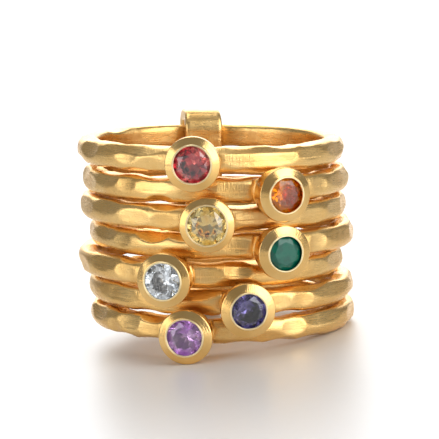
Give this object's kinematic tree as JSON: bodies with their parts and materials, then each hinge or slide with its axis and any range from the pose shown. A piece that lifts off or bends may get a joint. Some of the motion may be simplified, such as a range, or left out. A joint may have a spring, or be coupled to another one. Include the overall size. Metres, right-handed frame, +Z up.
{
  "type": "multi-band ring",
  "caption": "Finger ring of loose hammered hoops in a stack, each with a round stone in a bezel cup, held together at the back by one strap link.",
  "frame": {"origin": "bottom centre of the ring's box, on the table that it lies on, on its side", "axes": "+Z up, leaning a few degrees from the ring's own axis because the ring lies on its lowest cup, the edge of its link and the far side of its lowest hoop; -Y is the front with the stones, +Y the back with the link, +X right as seen from the front"},
  "size_m": [0.0214, 0.0244, 0.017],
  "materials": {
    "gold": "hammered, satin brushed yellow gold plate",
    "stone_red": "clear deep red, polished round cut",
    "stone_orange": "clear orange, polished round cut",
    "stone_pale_yellow": "clear pale champagne yellow, polished round cut",
    "stone_green": "cloudy deep green, polished round cut",
    "stone_pale_blue": "clear very pale blue, polished round cut",
    "stone_violet_blue": "dark violet blue, polished round cut",
    "stone_purple": "clear mid purple, polished round cut"
  },
  "bodies": {
    "link": {"link": "gold"},
    "band_1": {"band_1": "gold", "stone_1": "stone_red"},
    "band_2": {"band_2": "gold", "stone_2": "stone_orange"},
    "band_3": {"band_3": "gold", "stone_3": "stone_pale_yellow"},
    "band_4": {"band_4": "gold", "stone_4": "stone_green"},
    "band_5": {"band_5": "gold", "stone_5": "stone_pale_blue"},
    "band_6": {"band_6": "gold", "stone_6": "stone_violet_blue"},
    "band_7": {"band_7": "gold", "stone_7": "stone_purple"}
  },
  "joints": [
    {"name": "band_1_turn", "type": "hinge", "parent": "link", "child": "band_1", "pos_m": [0.00031, 0.00051, 0.01442], "axis": [0.0991, -0.0137, 0.995], "range_deg": [-148, 10]},
    {"name": "band_2_turn", "type": "hinge", "parent": "link", "child": "band_2", "pos_m": [0.00047, 0.00054, 0.01221], "axis": [0.0991, -0.0137, 0.995], "range_deg": [-5, 141]},
    {"name": "band_3_turn", "type": "hinge", "parent": "link", "child": "band_3", "pos_m": [0.00008, 0.00057, 0.01018], "axis": [0.0991, -0.0137, 0.995], "range_deg": [-150, 4.5]},
    {"name": "band_4_turn", "type": "hinge", "parent": "link", "child": "band_4", "pos_m": [0.00055, 0.0006, 0.00806], "axis": [0.0991, -0.0137, 0.995], "range_deg": [-5, 146]},
    {"name": "band_5_turn", "type": "hinge", "parent": "link", "child": "band_5", "pos_m": [-0.00053, 0.00062, 0.0061], "axis": [0.0991, -0.0137, 0.995], "range_deg": [-138, 10]},
    {"name": "band_6_turn", "type": "hinge", "parent": "link", "child": "band_6", "pos_m": [0.00008, 0.00065, 0.00397], "axis": [0.0991, -0.0137, 0.995], "range_deg": [-2, 158]},
    {"name": "band_7_turn", "type": "hinge", "parent": "link", "child": "band_7", "pos_m": [-0.00002, 0.00068, 0.00191], "axis": [0.0991, -0.0137, 0.995], "range_deg": [-135, 2]}
  ]
}
